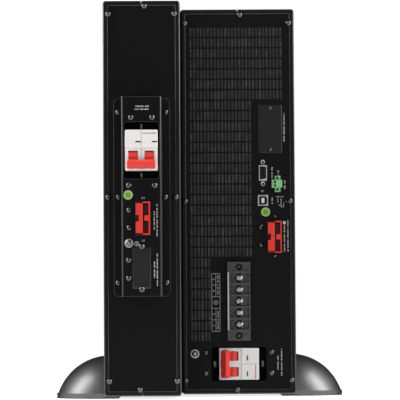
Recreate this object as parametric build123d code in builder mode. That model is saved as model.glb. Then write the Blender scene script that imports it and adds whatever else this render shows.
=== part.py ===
from build123d import *
import os
from math import ceil, cos, radians, sin

os.makedirs("parts", exist_ok=True)

# Uninterruptible power supply in two rack cabinets, stood on edge side by side as a tower.
# Millimetres, +Z up. The rear faces -Y: battery pack at -X, power module at +X.

# Cabinets
HEIGHT = 440.0
BATTERY_WIDTH = 86.0
UPS_WIDTH = 130.0
BATTERY_DEPTH = 670.0
UPS_DEPTH = 580.0
SHEET = 1.2
BEND = 3.0
FOLD = 2.0
RIM = 5.5
SEAM = 0.8
SEAM_NOTCH = 3.0
PANEL_FIT = 0.3

# Front bezels
BEZEL_DEPTH = 32.0
BEZEL_WALL = 3.0
BEZEL_EDGE = 4.0
BEZEL_CORNER = 6.0
INTAKE_TALL = 3.0
INTAKE_PITCH = 8.0
INTAKE_SIDE = 18.0
INTAKE_END = 30.0
DISPLAY_WIDE = 64.0
DISPLAY_TALL = 52.0
DISPLAY_DEEP = 1.6
DISPLAY_DOWN = 92.0
BUTTON_SIZE = 9.0
BUTTON_EDGE = 0.5
BUTTON_PITCH = 15.0
BUTTON_COUNT = 4
BUTTON_DOWN = 40.0
BUTTON_OUT = 1.2

# Tower feet
TONGUE_THICK = 3.0
TONGUE_REACH = 15.0
TONGUE_HALF = 42.0
FOOT_REACH = 55.8
FOOT_RIM = 6.0
FOOT_LEDGE = 1.4
FOOT_HEIGHT = 48.0
FOOT_ARC = 63.0
FOOT_REAR_INSET = 20.0
FOOT_FRONT_INSET = 60.0

# Breakers, measured along their own width and their own OFF to ON line
POLE_PITCH = 18.0
NOSE_LONG = 45.0
NOSE_OUT = 3.0
NOSE_CORNER = 1.5
NOSE_FIT = 0.3
HEAD_LONG = 19.8
HEAD_RISE = 1.0
HEAD_EDGE = 0.5
GROOVE = 0.8
GROOVE_DEEP = 0.7
FLAG_WIDE = 4.6
FLAG_TALL = 1.5
FLAG_DEEP = 0.6
FLAG_DOWN = 13.2
PACK_FLAG_SIDE = 5.6
INPUT_FLAG_SIDE = 2.2
SHOULDER = 18.5
BODY_DEEP = 44.0
POCKET_SIDE = 1.6
POCKET_END = 9.0
POCKET_DEEP = 8.0
POCKET_WALL = 1.0
POCKET_FLANGE = 12.5
POCKET_CORNER = 2.5

# Toggles, measured out from their axle
THROW = 38.0
AXIS_SIDE = 7.5
AXIS_DEEP = 4.2
DRUM_RADIUS = 6.3
DRUM_WIDE = 9.6
MARK_TURN = 28.0
MARK_WIDE = 1.4
MARK_DEEP = 0.7
LEVER_HALF = 1.8
LEVER_SUNK = 1.0
BAR_INNER = 11.0
BAR_OUTER = 17.5
BAR_HALF = 4.2
BAR_INSET = 2.2
BAR_ROUND = 1.6
BAR_END = 1.2
CLIP_SIDE = 6.3
CLIP_WIDE = 3.0
CLIP_DEEP = 1.8
AXLE_RADIUS = 1.5
AXLE_WALL = 1.0
AXLE_END = 0.5
RUN = 0.5

# Battery connectors
HOUSING_WIDE = 15.7
SHELL_TALL = 36.4
TONGUES_TALL = 32.6
HOUSING_OUT = 13.0
HOUSING_DEEP = 32.0
SHELL_WALL = 1.5
CAVITY_DEEP = 11.4
KEY_TALL = 6.0
KEY_LONG = 4.6
NOTCH_TALL = 7.2
NOTCH_DEEP = 3.4
COLLAR = 2.0
CONTACT_THICK = 1.0
CONTACT_WIDE = 9.0
CONTACT_LONG = 9.0
PLATE_FIT = 0.3

# Battery pack rear: hat-section bracket and what it carries, from its foot upwards
BRACKET_BOTTOM = 110.5
BRACKET_FOOT = 4.5
BRACKET_HEAD = 28.0
BRACKET_RISE = 25.0
BRACKET_BEND = 2.6
BRACKET_FLANGE = 9.2
FLANGE_CORNER = 4.0
BOX_FIT = 0.4
WIRE_MARGIN = 2.0
SPARE_WIDE = 19.8
SPARE_TALL = 45.0
SPARE_SCREWS = 46.8
SPARE_TAB = 3.4
SPARE_THICK = 1.2
SPARE_EDGE = 0.4
SPARE_GAP = 9.4
BREAKER_GAP = 25.6
PACK_CONNECTOR_SIDE = 1.6

# Power module rear: slots, then what sits right of them from the top down
VENT_SIDE = 10.0
VENT_TOP = 18.0
VENT_BOTTOM = 59.7
VENT_MARGIN = 4.0
VENT_PITCH = 3.95
VENT_ROW = 12.0
SLOT_WIDE = 2.2
SLOT_TALL = 10.0
MESH_LAP = 2.0
MESH_THICK = 0.8
COVER_DROP = 110.1
COVER_IN = 28.3
COVER_WIDE = 27.8
COVER_TALL = 55.0
COVER_THICK = 1.5
COVER_CORNER = 3.0
COVER_EDGE = 0.5
PORTS_IN = 36.6
SERIAL_GAP = 7.4
SERIAL_TALL = 17.4
SERIAL_WIDE = 8.8
SERIAL_LEAN = 1.5
SERIAL_OUT = 5.8
SERIAL_WALL = 0.7
SERIAL_PLATE = 1.0
SERIAL_PLATE_SIDE = 2.0
SERIAL_PLATE_END = 3.0
SERIAL_SUNK = 0.8
JACK_SPACING = 24.8
JACK_FLATS = 4.8
JACK_OUT = 4.6
SIGNAL_DROP = 12.9
SIGNAL_SIDE = 15.8
SIGNAL_WIDE = 12.0
SIGNAL_TALL = 8.8
SIGNAL_OUT = 11.0
EAR_WIDE = 6.4
EAR_TALL = 18.5
EAR_OUT = 8.0
EAR_SIDE = 0.8
WIRE_HOLE = 2.4
WIRE_PITCH = 3.8
WIRE_DEEP = 5.0
DATA_GAP = 8.6
DATA_WIDE = 11.2
DATA_TALL = 11.8
DATA_OUT = 1.6
DATA_DEEP = 12.0
DATA_WALL = 0.6
DATA_CHAMFER = 2.6
DATA_COLLAR = 1.5
TONGUE_WIDE = 3.4
TONGUE_TALL = 5.6
SUPPLY_GAP = 14.5
SUPPLY_IN = 23.7

# Power module rear: terminal block over the input breaker, from the bottom up
INPUT_GAP = 14.7
BLOCK_GAP = 6.9
BLOCK_WIDE = 26.2
BLOCK_POLES = 5
BLOCK_PITCH = 13.2
BLOCK_EAR = 11.8
BLOCK_BASE = 9.0
BLOCK_OUT = 19.0
BLOCK_LIP = 2.0
EAR_BASE = 12.0
BARRIER = 2.6
RIDGE = 2.2
BLOCK_HOLE = 2.2
BLOCK_SEAT = 4.2
BLOCK_SEAT_DEEP = 3.5
WASHER = 9.4
WASHER_THICK = 1.6
TERMINAL_RADIUS = 4.0
TERMINAL_HEAD = 3.0
LABEL_WIDE = 17.8
GUARD_HOLE = 1.2
GUARD_SIDE = 8.6
GUARD_LOW = 5.0
GUARD_SPACING = 70.6

# Earth screws
PACK_EARTH_IN = 8.0
PACK_EARTH_DROP = 9.0
UPS_EARTH_IN = 14.8
UPS_EARTH_UP = 45.0
EARTH_WASHER = 4.9
EARTH_WASHER_THICK = 1.0
EARTH_RADIUS = 3.8
EARTH_HEAD = 2.6

# Cooling fans behind the slots
FAN_MARGIN = 4.45
FAN_TOP = 20.0
FAN_GAP = 9.0
FAN_DEEP = 25.0
FAN_WALL = 2.0
FAN_CORNER = 4.0
FAN_STRUT = 4.5
FAN_STRUTS = 4
FAN_LAP = 1.0
FAN_BASE = 4.0
FAN_HUB = 17.0
FAN_HUB_DEEP = 18.0
FAN_BLADES = 7
FAN_BLADE = 2.0
FAN_PITCH = 38.0
FAN_FILL = 0.72
FAN_ROOT = 2.0
FAN_TIP_GAP = 2.9

# Places that follow from the sizes above
base_z = TONGUE_THICK
left_x = -(BATTERY_WIDTH + UPS_WIDTH) / 2
joint_x = left_x + BATTERY_WIDTH
right_x = joint_x + UPS_WIDTH
nose_wide = 2 * POLE_PITCH
pocket_wide = nose_wide + 2 * POCKET_SIDE
pocket_long = NOSE_LONG + 2 * POCKET_END
bar_wide = nose_wide - 2 * BAR_INSET
bar_tip = (
    (BAR_OUTER - BAR_ROUND) * cos(radians(THROW))
    + (BAR_HALF - BAR_ROUND) * sin(radians(THROW))
    + BAR_ROUND
    - AXIS_DEEP
)
overhang = BRACKET_RISE - SHEET + NOSE_OUT + bar_tip
front_y = (BATTERY_DEPTH + overhang - BUTTON_OUT) / 2
battery_y = front_y - BATTERY_DEPTH
ups_y = front_y - UPS_DEPTH

# Heights on the bracket, then box and bracket sizes
spare_half = SPARE_SCREWS / 2 + SPARE_TAB
spare_up = BRACKET_BOTTOM + BRACKET_FOOT + spare_half
pack_connector_up = spare_up + spare_half + SPARE_GAP + SHELL_TALL / 2
pack_breaker_up = pack_connector_up + SHELL_TALL / 2 + BREAKER_GAP + pocket_long / 2
bracket_tall = pack_breaker_up + pocket_long / 2 + BRACKET_HEAD - BRACKET_BOTTOM
box_wide = pocket_wide + 2 * (POCKET_WALL + BOX_FIT + SHEET)
bracket_wide = box_wide + 2 * BRACKET_FLANGE

# Heights on the power module's rear
serial_half = JACK_SPACING / 2 + SERIAL_PLATE_END
data_half = DATA_TALL / 2 + DATA_COLLAR
cover_up = HEIGHT - COVER_DROP - COVER_TALL / 2
serial_up = cover_up - COVER_TALL / 2 - SERIAL_GAP - serial_half
data_up = serial_up - serial_half - DATA_GAP - data_half
supply_up = data_up - data_half - SUPPLY_GAP - COLLAR - SHELL_TALL / 2
input_up = INPUT_GAP + pocket_wide / 2
poles_tall = BLOCK_POLES * BLOCK_PITCH
block_up = input_up + pocket_wide / 2 + BLOCK_GAP + BLOCK_EAR + poles_tall / 2

# Places across the power module's rear, from its left side
middle = UPS_WIDTH / 2
cover_across = UPS_WIDTH - COVER_IN
ports_across = UPS_WIDTH - PORTS_IN
supply_across = UPS_WIDTH - SUPPLY_IN


def rear_view(x, y, z):
    """Plane as seen from behind: across is +X, up is +Z, out towards the viewer is -Y."""
    return Plane(origin=(x, y, z), x_dir=(1, 0, 0), z_dir=(0, -1, 0))


def front_view(x, y, z):
    """Plane as seen from the front: across is -X, up is +Z, out is +Y."""
    return Plane(origin=(x, y, z), x_dir=(-1, 0, 0), z_dir=(0, 1, 0))


def write(piece, name):
    """Label a finished piece and write it to its file."""
    piece.part.label = name
    export_step(piece.part, f"parts/{name}.step")


battery_panel = rear_view(left_x, battery_y + SHEET, base_z)
ups_panel = rear_view(joint_x, ups_y + SHEET, base_z)
bracket_front = rear_view(
    left_x + BATTERY_WIDTH / 2, battery_y + SHEET - BRACKET_RISE, base_z
)


def spot(view, across, up):
    """The same plane with its origin moved across and up in the plane."""
    return Plane(
        origin=view.from_local_coords((across, up, 0)),
        x_dir=view.x_dir,
        z_dir=view.z_dir,
    )


def case_half(name, x, width, y, depth, keep):
    """Bent-sheet half of a case, split at mid width, with a return flange at the rear."""
    view = rear_view(x + width / 2, y, base_z + HEIGHT / 2)
    side = -1 if keep == Keep.BOTTOM else 1
    with BuildPart() as half:
        with BuildSketch(view):
            RectangleRounded(width, HEIGHT, BEND)
            RectangleRounded(
                width - 2 * SHEET, HEIGHT - 2 * SHEET, BEND - SHEET, mode=Mode.SUBTRACT
            )
        extrude(amount=-(depth - BEZEL_DEPTH))
        with BuildSketch(view):
            RectangleRounded(width, HEIGHT, BEND)
            Rectangle(width - 2 * RIM, HEIGHT - 2 * RIM, mode=Mode.SUBTRACT)
        extrude(amount=-SHEET)
        fillet(half.faces().sort_by(Axis.Y)[0].outer_wire().edges(), FOLD)
        with BuildSketch(view):
            with Locations((0, HEIGHT / 2)):
                Rectangle(SEAM_NOTCH, SEAM_NOTCH, rotation=45)
        extrude(amount=-SHEET, mode=Mode.SUBTRACT)
        seam = Plane(origin=(x + width / 2 + side * SEAM / 2, 0, 0), z_dir=(1, 0, 0))
        split(bisect_by=seam, keep=keep)
    write(half, name)


def bezel(name, x, width, slots_top, pockets):
    """Moulded front: an open-backed tray with a chamfered edge and air-intake slots."""
    view = front_view(x + width / 2, front_y, base_z)
    with BuildPart() as front:
        with BuildSketch(spot(view, 0, HEIGHT / 2)):
            RectangleRounded(width, HEIGHT, BEZEL_CORNER)
        extrude(amount=-BEZEL_DEPTH)
        chamfer(front.faces().sort_by(Axis.Y)[-1].edges(), BEZEL_EDGE)
        with BuildSketch(spot(view.offset(-BEZEL_WALL), 0, HEIGHT / 2)):
            Rectangle(width - 2 * BEZEL_WALL, HEIGHT - 2 * BEZEL_WALL)
        extrude(amount=-(BEZEL_DEPTH - BEZEL_WALL), mode=Mode.SUBTRACT)
        count = int((slots_top - INTAKE_END) / INTAKE_PITCH)
        with BuildSketch(spot(view, 0, INTAKE_END + count * INTAKE_PITCH / 2)):
            with GridLocations(1, INTAKE_PITCH, 1, count):
                Rectangle(width - 2 * INTAKE_SIDE, INTAKE_TALL)
        extrude(amount=-BEZEL_WALL, mode=Mode.SUBTRACT)
        for place, wide, tall, deep in pockets:
            with BuildSketch(spot(view, 0, place)):
                Rectangle(wide, tall)
            extrude(amount=-deep, mode=Mode.SUBTRACT)
    write(front, name)


def front_plate(name, x, width):
    """Sheet that closes the case behind its bezel."""
    view = front_view(x + width / 2, front_y - BEZEL_DEPTH, base_z + HEIGHT / 2)
    inset = 2 * (SHEET + PANEL_FIT)
    with BuildPart() as plate:
        with BuildSketch(view):
            RectangleRounded(width - inset, HEIGHT - inset, BEND - SHEET)
        extrude(amount=-SHEET)
    write(plate, name)


def feet(name, x, side, rear):
    """Rear and front foot of one cabinet: half a dome on a stepped rim, tongue underneath."""
    dome = FOOT_REACH - FOOT_LEDGE
    with BuildPart() as pair:
        places = (
            rear + FOOT_REAR_INSET + FOOT_REACH,
            front_y - FOOT_FRONT_INSET - FOOT_REACH,
        )
        for y in places:
            upright = Plane(origin=(x, y, 0), x_dir=(0, -side, 0), z_dir=(-side, 0, 0))
            with BuildSketch(upright):
                with BuildLine():
                    Polyline((0, FOOT_HEIGHT), (0, 0), (FOOT_REACH, 0), (FOOT_REACH, FOOT_RIM))
                    Line((FOOT_REACH, FOOT_RIM), (dome, FOOT_RIM))
                    RadiusArc((dome, FOOT_RIM), (0, FOOT_HEIGHT), -FOOT_ARC)
                make_face()
            revolve(axis=Axis((x, y, 0), (0, 0, 1)), revolution_arc=180)
            with BuildSketch(Plane((x, y, 0))):
                with Locations((-side * TONGUE_REACH / 2, 0)):
                    Rectangle(TONGUE_REACH, 2 * TONGUE_HALF)
            extrude(amount=TONGUE_THICK)
    write(pair, name)


def pocket(name, view):
    """Pan behind a window in the plate at `view`: end flanges, walls and a floor round the nose."""
    outer = pocket_wide + 2 * POCKET_WALL
    floor = view.offset(-POCKET_DEEP)
    with BuildPart() as pan:
        with BuildSketch(view.offset(-SHEET)):
            Rectangle(outer, pocket_long + 2 * POCKET_FLANGE)
        extrude(amount=-POCKET_WALL)
        with BuildSketch(view.offset(-SHEET)):
            Rectangle(outer, pocket_long + 2 * POCKET_WALL)
        extrude(amount=-(POCKET_DEEP + POCKET_WALL - SHEET))
        with BuildSketch(floor):
            Rectangle(pocket_wide, pocket_long)
        extrude(amount=POCKET_DEEP, mode=Mode.SUBTRACT)
        with BuildSketch(floor):
            Rectangle(nose_wide + 2 * NOSE_FIT, NOSE_LONG + 2 * NOSE_FIT)
        extrude(amount=-POCKET_WALL, mode=Mode.SUBTRACT)
    write(pan, name)


def axle_plane(view):
    """Plane across a breaker's axle: its x runs from OFF to ON and its y outwards."""
    return Plane(
        origin=view.from_local_coords((0, -AXIS_SIDE, NOSE_OUT - AXIS_DEEP)),
        x_dir=view.y_dir,
        z_dir=view.x_dir,
    )


def breaker_body(name, view, flag_side):
    """Two-pole breaker: shoulders behind the pocket, and a nose through it with a raised head,
    a flag window and a toggle well in each pole, and a groove between the poles."""
    shoulder = view.offset(-POCKET_DEEP - POCKET_WALL)
    face = view.offset(NOSE_OUT)
    brow = face.offset(HEAD_RISE)
    head_up = (NOSE_LONG - HEAD_LONG) / 2
    with BuildPart() as body:
        with BuildSketch(shoulder):
            Rectangle(nose_wide, NOSE_LONG + 2 * SHOULDER)
        extrude(amount=-BODY_DEEP)
        with BuildSketch(shoulder):
            RectangleRounded(nose_wide, NOSE_LONG, NOSE_CORNER)
        extrude(amount=POCKET_DEEP + POCKET_WALL + NOSE_OUT)
        with BuildSketch(spot(face, 0, head_up)) as head:
            Rectangle(nose_wide, HEAD_LONG)
            fillet(head.vertices().group_by(Axis.Y)[-1], NOSE_CORNER)
        extrude(amount=HEAD_RISE)
        fillet(body.faces().sort_by(Axis.Y)[0].edges(), HEAD_EDGE)
        with BuildSketch(spot(face, 0, -AXIS_SIDE)):
            with GridLocations(POLE_PITCH, 1, 2, 1):
                Rectangle(DRUM_WIDE + 2 * RUN, 2 * (DRUM_RADIUS + RUN))
        extrude(amount=-(AXIS_DEEP + DRUM_RADIUS + RUN), mode=Mode.SUBTRACT)
        with BuildSketch(axle_plane(view)):
            Circle(AXLE_RADIUS + RUN / 2)
        extrude(amount=nose_wide / 2 - AXLE_WALL, both=True, mode=Mode.SUBTRACT)
        with BuildSketch(spot(brow, flag_side, NOSE_LONG / 2 - FLAG_DOWN)):
            with GridLocations(POLE_PITCH, 1, 2, 1):
                Rectangle(FLAG_WIDE, FLAG_TALL)
        extrude(amount=-FLAG_DEEP, mode=Mode.SUBTRACT)
        with BuildSketch(spot(brow, 0, head_up)):
            Rectangle(GROOVE, HEAD_LONG)
        extrude(amount=-GROOVE_DEEP, mode=Mode.SUBTRACT)
        with BuildSketch(spot(face, 0, -HEAD_LONG / 2)):
            Rectangle(GROOVE, NOSE_LONG - HEAD_LONG)
        extrude(amount=-GROOVE_DEEP, mode=Mode.SUBTRACT)
    write(body, name)


def toggle(name, view):
    """Both toggles of a breaker in OFF: a rounded bar clipped over two levers, which grow from
    drums on one axle, each drum with a mark line across it."""
    lean = radians(-THROW)
    mark = MARK_TURN - THROW

    def swung(out, across):
        return (
            out * sin(lean) + across * cos(lean),
            out * cos(lean) - across * sin(lean),
        )

    side = axle_plane(view)
    with BuildPart() as lever:
        with BuildSketch(side) as bar:
            with Locations(swung((BAR_INNER + BAR_OUTER) / 2, 0)):
                Rectangle(2 * BAR_HALF, BAR_OUTER - BAR_INNER, rotation=THROW)
            fillet(bar.vertices(), BAR_ROUND)
        extrude(amount=bar_wide / 2, both=True)
        ends = lever.faces().filter_by(Axis(side.origin, side.z_dir))
        chamfer(ends.edges(), BAR_END)
        for offset in (-CLIP_SIDE, CLIP_SIDE):
            with BuildSketch(side.offset(offset)):
                with Locations(swung(BAR_OUTER, -BAR_HALF)):
                    Rectangle(2 * CLIP_DEEP, 2 * CLIP_DEEP, rotation=THROW)
            extrude(amount=CLIP_WIDE / 2, both=True, mode=Mode.SUBTRACT)
        for offset in (-POLE_PITCH / 2, POLE_PITCH / 2):
            with BuildSketch(side.offset(offset)):
                Circle(DRUM_RADIUS)
                with Locations(
                    (DRUM_RADIUS * sin(radians(mark)), DRUM_RADIUS * cos(radians(mark)))
                ):
                    Rectangle(MARK_WIDE, 2 * MARK_DEEP, rotation=-mark, mode=Mode.SUBTRACT)
                with Locations(swung((BAR_INNER + LEVER_SUNK) / 2, 0)):
                    Rectangle(2 * LEVER_HALF, BAR_INNER + LEVER_SUNK, rotation=THROW)
            extrude(amount=DRUM_WIDE / 2, both=True)
        with BuildSketch(side):
            Circle(AXLE_RADIUS)
        extrude(amount=nose_wide / 2 - AXLE_WALL - AXLE_END, both=True)
    write(lever, name)


def connector(name, view):
    """Two-pole battery connector in the plate at `view`: half tongues, half open shell."""
    half = HOUSING_WIDE / 2
    with BuildPart() as housing:
        with BuildSketch(view.offset(HOUSING_OUT)):
            with Locations((half / 2, 0)):
                Rectangle(half, SHELL_TALL)
            with Locations((-half / 2, 0)):
                Rectangle(half, TONGUES_TALL)
            with Locations((NOTCH_DEEP / 2 - half, 0)):
                Rectangle(NOTCH_DEEP, NOTCH_TALL, mode=Mode.SUBTRACT)
        extrude(amount=-(HOUSING_OUT + HOUSING_DEEP))
        with BuildSketch(view.offset(-SHEET)):
            Rectangle(HOUSING_WIDE + 2 * COLLAR, SHELL_TALL + 2 * COLLAR)
        extrude(amount=-COLLAR)
        with BuildSketch(view.offset(HOUSING_OUT)):
            with Locations(((half - SHELL_WALL) / 2, 0)):
                Rectangle(half - SHELL_WALL, SHELL_TALL - 2 * SHELL_WALL)
            with Locations((half - SHELL_WALL - KEY_LONG / 2, 0)):
                Rectangle(KEY_LONG, KEY_TALL, mode=Mode.SUBTRACT)
        extrude(amount=-CAVITY_DEEP, mode=Mode.SUBTRACT)
    write(housing, f"{name}_connector")
    with BuildPart() as contacts:
        with BuildSketch(view.offset(HOUSING_OUT - CAVITY_DEEP)):
            with Locations((CONTACT_THICK / 2, 0)):
                with GridLocations(1, (SHELL_TALL - 2 * SHELL_WALL + KEY_TALL) / 2, 1, 2):
                    Rectangle(CONTACT_THICK, CONTACT_WIDE)
        extrude(amount=CONTACT_LONG)
    write(contacts, f"{name}_contacts")


# Case halves: in each cabinet a tray at -X and a cover at +X
case_half("battery_tray", left_x, BATTERY_WIDTH, battery_y, BATTERY_DEPTH, Keep.BOTTOM)
case_half("battery_cover", left_x, BATTERY_WIDTH, battery_y, BATTERY_DEPTH, Keep.TOP)
case_half("ups_tray", joint_x, UPS_WIDTH, ups_y, UPS_DEPTH, Keep.BOTTOM)
case_half("ups_cover", joint_x, UPS_WIDTH, ups_y, UPS_DEPTH, Keep.TOP)

# Fronts: sheet, bezel and, on the power module, the display and its buttons
front_plate("battery_front_plate", left_x, BATTERY_WIDTH)
front_plate("ups_front_plate", joint_x, UPS_WIDTH)
display_up = HEIGHT - DISPLAY_DOWN
bezel("battery_bezel", left_x, BATTERY_WIDTH, HEIGHT - INTAKE_END, [])
bezel(
    "ups_bezel",
    joint_x,
    UPS_WIDTH,
    display_up - DISPLAY_TALL / 2 - BUTTON_DOWN,
    [(display_up, DISPLAY_WIDE, DISPLAY_TALL, DISPLAY_DEEP)],
)
ups_front = front_view(joint_x + middle, front_y, base_z)
with BuildPart() as display:
    with BuildSketch(spot(ups_front, 0, display_up)):
        Rectangle(DISPLAY_WIDE - 2 * PANEL_FIT, DISPLAY_TALL - 2 * PANEL_FIT)
    extrude(amount=-DISPLAY_DEEP)
write(display, "display_window")
with BuildPart() as buttons:
    with BuildSketch(spot(ups_front, 0, display_up - DISPLAY_TALL / 2 - BUTTON_DOWN / 2)):
        with GridLocations(BUTTON_PITCH, 1, BUTTON_COUNT, 1):
            Rectangle(BUTTON_SIZE, BUTTON_SIZE)
    extrude(amount=BUTTON_OUT)
    chamfer(buttons.faces().group_by(Axis.Y)[-1].edges(), BUTTON_EDGE)
write(buttons, "display_buttons")

# Tower feet
feet("left_feet", left_x, -1, battery_y)
feet("right_feet", right_x, 1, ups_y)

# Battery pack rear panel, open behind the bracket for the breaker and the wires
box_up = BRACKET_BOTTOM + bracket_tall / 2
with BuildPart() as battery_rear:
    with BuildSketch(spot(battery_panel, BATTERY_WIDTH / 2, HEIGHT / 2)):
        RectangleRounded(
            BATTERY_WIDTH - 2 * (SHEET + PANEL_FIT),
            HEIGHT - 2 * (SHEET + PANEL_FIT),
            BEND - SHEET,
        )
        with Locations((0, box_up - HEIGHT / 2)):
            Rectangle(
                box_wide - 2 * (SHEET + WIRE_MARGIN),
                bracket_tall - 2 * (SHEET + WIRE_MARGIN),
                mode=Mode.SUBTRACT,
            )
    extrude(amount=-SHEET)
write(battery_rear, "battery_rear_panel")

# Bracket: folded box with side flanges, a breaker window and a connector cut-out
bracket_foot = spot(battery_panel, BATTERY_WIDTH / 2, box_up)
pack_breaker = spot(bracket_front, 0, pack_breaker_up)
pack_socket = spot(bracket_front, PACK_CONNECTOR_SIDE, pack_connector_up)
with BuildPart() as bracket:
    with BuildSketch(bracket_foot):
        Rectangle(box_wide, bracket_tall)
    extrude(amount=BRACKET_RISE)
    sides = bracket.faces().sort_by(Axis.Y)[0].edges().filter_by(Axis.Z)
    fillet(sides, BRACKET_BEND)
    with BuildSketch(bracket_foot) as flange:
        Rectangle(bracket_wide, bracket_tall)
        chamfer(flange.vertices(), FLANGE_CORNER)
    extrude(amount=SHEET)
    with BuildSketch(bracket_foot):
        Rectangle(box_wide - 2 * SHEET, bracket_tall - 2 * SHEET)
    extrude(amount=BRACKET_RISE - SHEET, mode=Mode.SUBTRACT)
    with BuildSketch(pack_breaker) as window:
        Rectangle(pocket_wide, pocket_long)
        chamfer(window.vertices(), POCKET_CORNER)
    extrude(amount=-SHEET, mode=Mode.SUBTRACT)
    with BuildSketch(pack_socket):
        Rectangle(HOUSING_WIDE + 2 * PLATE_FIT, SHELL_TALL + 2 * PLATE_FIT)
    extrude(amount=-SHEET, mode=Mode.SUBTRACT)
write(bracket, "connector_bracket")

pocket("pack_breaker_pocket", pack_breaker)
breaker_body("pack_breaker_body", pack_breaker, PACK_FLAG_SIDE)
toggle("pack_breaker_toggle", pack_breaker)
connector("pack", pack_socket)

# Blanking cover over the spare connector place, with a tab under each of its screws
with BuildPart() as spare:
    with BuildSketch(spot(bracket_front, 0, spare_up)):
        Rectangle(SPARE_WIDE, SPARE_TALL)
        with GridLocations(1, SPARE_SCREWS, 1, 2):
            Circle(SPARE_TAB)
    extrude(amount=SPARE_THICK)
    chamfer(spare.faces().sort_by(Axis.Y)[0].edges(), SPARE_EDGE)
write(spare, "spare_connector_cover")

# Power module rear panel: three joined fields of slots and the cut-outs
block_top = block_up + poles_tall / 2 + BLOCK_EAR
ports_left = min(
    cover_across - COVER_WIDE / 2,
    ports_across - SERIAL_WIDE / 2 - SERIAL_PLATE_SIDE,
    ports_across - DATA_WIDE / 2 - DATA_COLLAR,
    supply_across - HOUSING_WIDE / 2 - COLLAR,
)
low_columns = int((middle - BLOCK_WIDE / 2 - LABEL_WIDE - VENT_SIDE) / VENT_PITCH)
mid_columns = int((ports_left - VENT_MARGIN - VENT_SIDE) / VENT_PITCH)
wide_columns = int((UPS_WIDTH - 2 * VENT_SIDE) / VENT_PITCH)
low_rows = ceil((block_top + VENT_MARGIN - VENT_BOTTOM) / VENT_ROW)
mid_from = VENT_BOTTOM + low_rows * VENT_ROW
mid_rows = ceil((cover_up + COVER_TALL / 2 + VENT_MARGIN - mid_from) / VENT_ROW)
wide_from = mid_from + mid_rows * VENT_ROW
wide_rows = int((HEIGHT - VENT_TOP - wide_from) / VENT_ROW)
fields = [
    (low_columns, low_rows, VENT_BOTTOM),
    (mid_columns, mid_rows, mid_from),
    (wide_columns, wide_rows, wide_from),
]
cut_outs = [
    (ports_across, serial_up, SERIAL_WIDE, SERIAL_TALL),
    (ports_across, data_up, DATA_WIDE, DATA_TALL),
    (supply_across, supply_up, HOUSING_WIDE, SHELL_TALL),
]
input_breaker = Plane(
    origin=ups_panel.from_local_coords((middle, input_up, 0)),
    x_dir=(0, 0, -1),
    z_dir=(0, -1, 0),
)
with BuildPart() as ups_rear:
    with BuildSketch(ups_panel):
        with Locations((middle, HEIGHT / 2)):
            RectangleRounded(
                UPS_WIDTH - 2 * (SHEET + PANEL_FIT),
                HEIGHT - 2 * (SHEET + PANEL_FIT),
                BEND - SHEET,
            )
        for columns, rows, bottom in fields:
            with Locations((VENT_SIDE + VENT_PITCH / 2, bottom + VENT_ROW / 2)):
                with GridLocations(
                    VENT_PITCH, VENT_ROW, columns, rows, align=(Align.MIN, Align.MIN)
                ):
                    Rectangle(SLOT_WIDE, SLOT_TALL, mode=Mode.SUBTRACT)
        for across, up, wide, tall in cut_outs:
            with Locations((across, up)):
                Rectangle(wide + 2 * PLATE_FIT, tall + 2 * PLATE_FIT, mode=Mode.SUBTRACT)
        with Locations((middle + BLOCK_WIDE / 2 + GUARD_SIDE, block_up - GUARD_LOW)):
            with GridLocations(1, GUARD_SPACING, 1, 2):
                Circle(GUARD_HOLE, mode=Mode.SUBTRACT)
    extrude(amount=-SHEET)
    with BuildSketch(input_breaker) as window:
        Rectangle(pocket_wide, pocket_long)
        chamfer(window.vertices(), POCKET_CORNER)
    extrude(amount=-SHEET, mode=Mode.SUBTRACT)
write(ups_rear, "ups_rear_panel")

# Woven mesh behind the slots, held against the panel by the fans
with BuildPart() as mesh:
    with BuildSketch(ups_panel.offset(-SHEET)):
        for columns, rows, bottom in fields:
            wide = columns * VENT_PITCH
            tall = rows * VENT_ROW
            with Locations((VENT_SIDE + wide / 2, bottom + tall / 2)):
                Rectangle(wide + 2 * MESH_LAP, tall + 2 * MESH_LAP)
    extrude(amount=-MESH_THICK)
write(mesh, "vent_mesh")

pocket("input_breaker_pocket", input_breaker)
breaker_body("input_breaker_body", input_breaker, INPUT_FLAG_SIDE)
toggle("input_breaker_toggle", input_breaker)
connector("supply", spot(ups_panel, supply_across, supply_up))

# Cover plate of the expansion slot
with BuildPart() as slot_cover:
    with BuildSketch(spot(ups_panel, cover_across, cover_up)):
        RectangleRounded(COVER_WIDE, COVER_TALL, COVER_CORNER)
    extrude(amount=COVER_THICK)
    chamfer(slot_cover.faces().sort_by(Axis.Y)[0].edges(), COVER_EDGE)
write(slot_cover, "expansion_cover")

# Nine-pin serial port: shell with its plate behind the panel, insert and jack screws
serial_view = spot(ups_panel, ports_across, serial_up)


def d_outline(inset):
    """Upright D: the long side at -X, the short side leaning in at +X."""
    wide = SERIAL_WIDE / 2 - inset
    tall = SERIAL_TALL / 2 - inset
    Polygon(
        (-wide, -tall),
        (wide, SERIAL_LEAN - tall),
        (wide, tall - SERIAL_LEAN),
        (-wide, tall),
        align=None,
    )


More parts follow.
